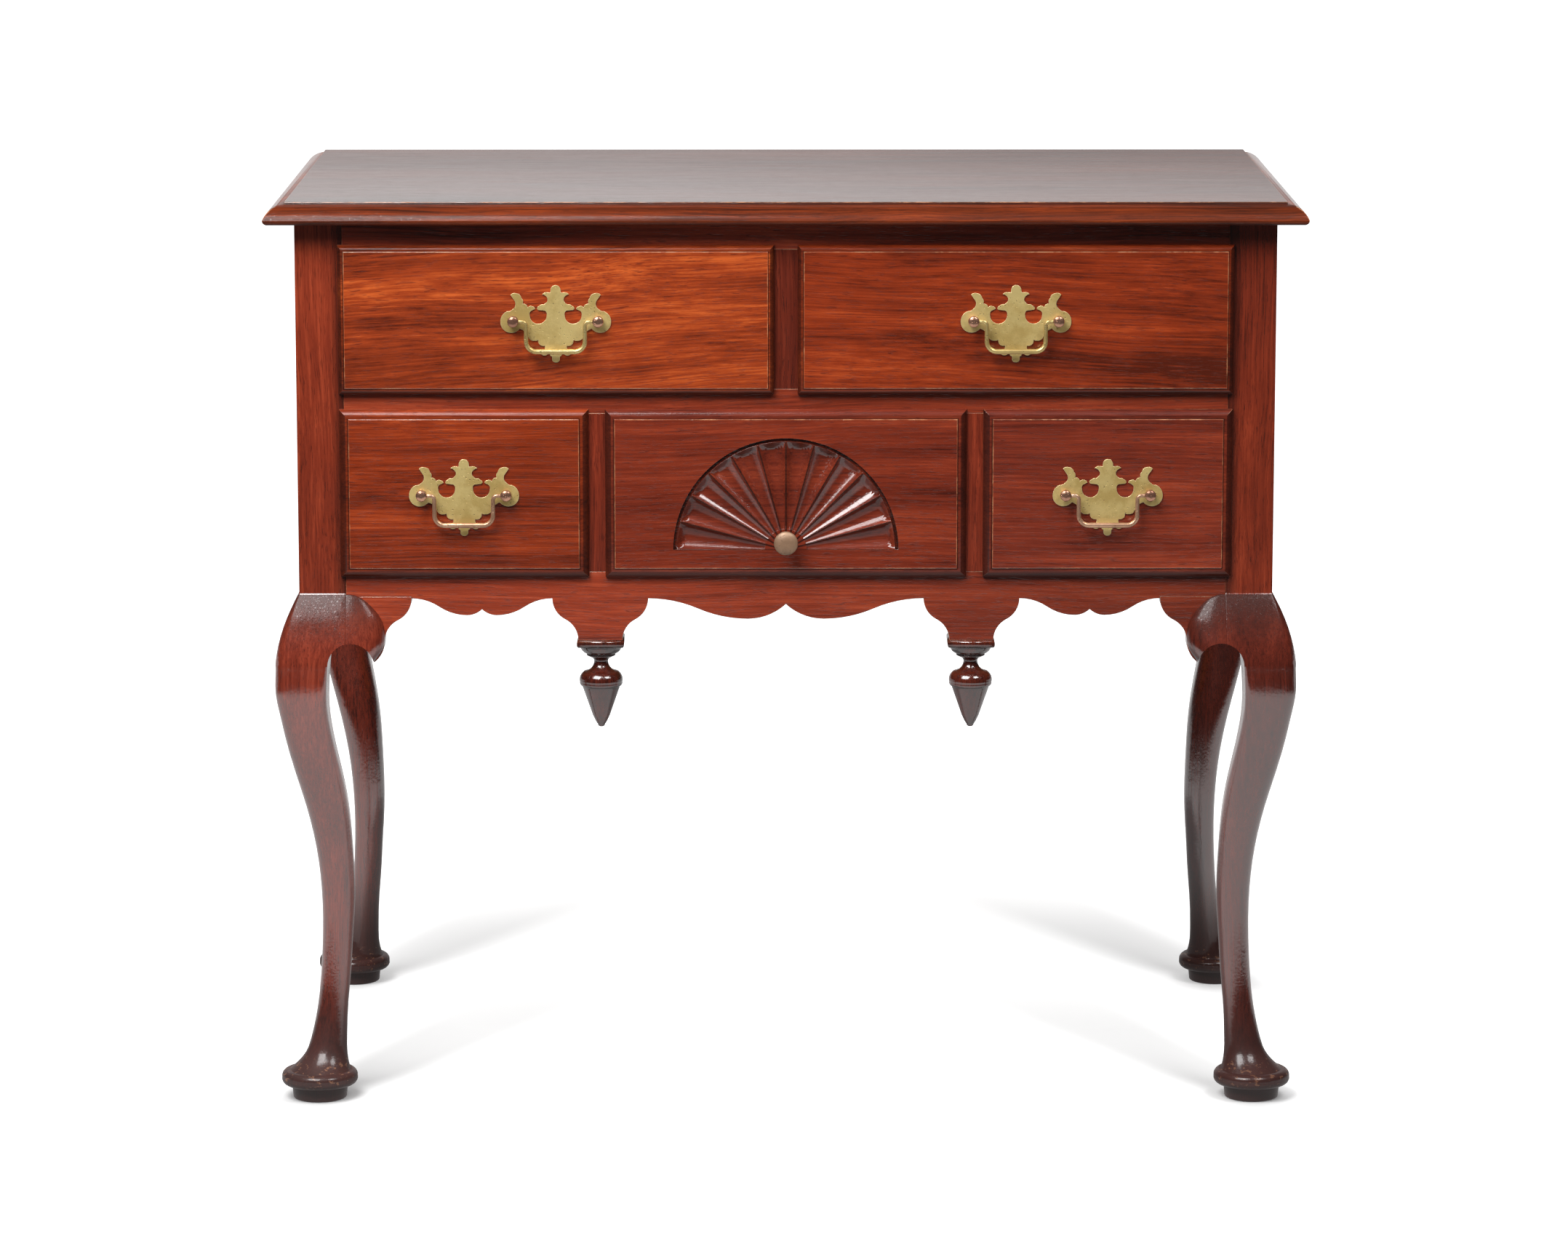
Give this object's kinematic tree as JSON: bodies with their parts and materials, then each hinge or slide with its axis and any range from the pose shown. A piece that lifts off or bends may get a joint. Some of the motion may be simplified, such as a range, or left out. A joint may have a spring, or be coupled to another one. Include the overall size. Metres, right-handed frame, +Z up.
{
  "type": "lowboy dressing table",
  "caption": "Wooden lowboy dressing table with lipped drawers, carved fan, bail pulls, scrolled apron, turned pendants and cabriole legs on pad feet.",
  "frame": {"origin": "on the floor, below the middle of the bounding box", "axes": "+X along the front to the right, +Y from the front to the back, +Z up"},
  "size_m": [0.914, 0.5291, 0.81],
  "materials": {
    "mahogany": "polished, dark red brown",
    "mahogany_top": "polished, red brown with worn edges",
    "mahogany_front": "polished, orange brown figure",
    "pine": "bare, aged",
    "plate_brass": "aged, pale",
    "bail_brass": "aged, coppery",
    "knob_brass": "aged, dull"
  },
  "bodies": {
    "case": {"apron_brackets": "mahogany", "back_panel": "pine", "front_apron": "mahogany", "front_left_knee_block_front": "mahogany", "front_left_knee_block_side": "mahogany", "front_left_leg": "mahogany", "front_right_knee_block_front": "mahogany", "front_right_knee_block_side": "mahogany", "front_right_leg": "mahogany", "glue_blocks": "pine", "kickers": "pine", "left_pendant": "mahogany", "left_side_panel": "mahogany", "lower_left_divider": "mahogany", "lower_right_divider": "mahogany", "lower_runners": "pine", "middle_rail": "mahogany", "rear_knee_blocks": "mahogany", "rear_left_leg": "mahogany", "rear_right_leg": "mahogany", "right_pendant": "mahogany", "right_side_panel": "mahogany", "top_board": "mahogany_top", "top_rail": "mahogany", "upper_divider": "mahogany", "upper_runners": "pine"},
    "upper_left_drawer": {"upper_left_drawer_back": "pine", "upper_left_drawer_bottom": "pine", "upper_left_drawer_front": "mahogany_front", "upper_left_drawer_sides": "pine", "upper_left_pull_backplate": "plate_brass", "upper_left_pull_posts": "bail_brass"},
    "upper_right_drawer": {"upper_right_drawer_back": "pine", "upper_right_drawer_bottom": "pine", "upper_right_drawer_front": "mahogany_front", "upper_right_drawer_sides": "pine", "upper_right_pull_backplate": "plate_brass", "upper_right_pull_posts": "bail_brass"},
    "lower_left_drawer": {"lower_left_drawer_back": "pine", "lower_left_drawer_bottom": "pine", "lower_left_drawer_front": "mahogany_front", "lower_left_drawer_sides": "pine", "lower_left_pull_backplate": "plate_brass", "lower_left_pull_posts": "bail_brass"},
    "lower_centre_drawer": {"centre_knob": "knob_brass", "lower_centre_drawer_back": "pine", "lower_centre_drawer_bottom": "pine", "lower_centre_drawer_front": "mahogany_front", "lower_centre_drawer_sides": "pine"},
    "lower_right_drawer": {"lower_right_drawer_back": "pine", "lower_right_drawer_bottom": "pine", "lower_right_drawer_front": "mahogany_front", "lower_right_drawer_sides": "pine", "lower_right_pull_backplate": "plate_brass", "lower_right_pull_posts": "bail_brass"},
    "upper_left_bail": {"upper_left_bail": "bail_brass"},
    "upper_right_bail": {"upper_right_bail": "bail_brass"},
    "lower_left_bail": {"lower_left_bail": "bail_brass"},
    "lower_right_bail": {"lower_right_bail": "bail_brass"}
  },
  "joints": [
    {"name": "upper_left_slide", "type": "slide", "parent": "case", "child": "upper_left_drawer", "axis": [0, -1, 0], "range_m": [0, 0.3]},
    {"name": "upper_right_slide", "type": "slide", "parent": "case", "child": "upper_right_drawer", "axis": [0, -1, 0], "range_m": [0, 0.3]},
    {"name": "lower_left_slide", "type": "slide", "parent": "case", "child": "lower_left_drawer", "axis": [0, -1, 0], "range_m": [0, 0.3]},
    {"name": "lower_centre_slide", "type": "slide", "parent": "case", "child": "lower_centre_drawer", "axis": [0, -1, 0], "range_m": [0, 0.3]},
    {"name": "lower_right_slide", "type": "slide", "parent": "case", "child": "lower_right_drawer", "axis": [0, -1, 0], "range_m": [0, 0.3]},
    {"name": "upper_left_bail_hinge", "type": "hinge", "parent": "upper_left_drawer", "child": "upper_left_bail", "pos_m": [-0.2019, -0.2519, 0.70585], "axis": [-1, 0, 0], "range_deg": [-10, 120]},
    {"name": "upper_right_bail_hinge", "type": "hinge", "parent": "upper_right_drawer", "child": "upper_right_bail", "pos_m": [0.2019, -0.2519, 0.70585], "axis": [-1, 0, 0], "range_deg": [-10, 120]},
    {"name": "lower_left_bail_hinge", "type": "hinge", "parent": "lower_left_drawer", "child": "lower_left_bail", "pos_m": [-0.28375, -0.2519, 0.55175], "axis": [-1, 0, 0], "range_deg": [-10, 120]},
    {"name": "lower_right_bail_hinge", "type": "hinge", "parent": "lower_right_drawer", "child": "lower_right_bail", "pos_m": [0.28375, -0.2519, 0.55175], "axis": [-1, 0, 0], "range_deg": [-10, 120]}
  ]
}
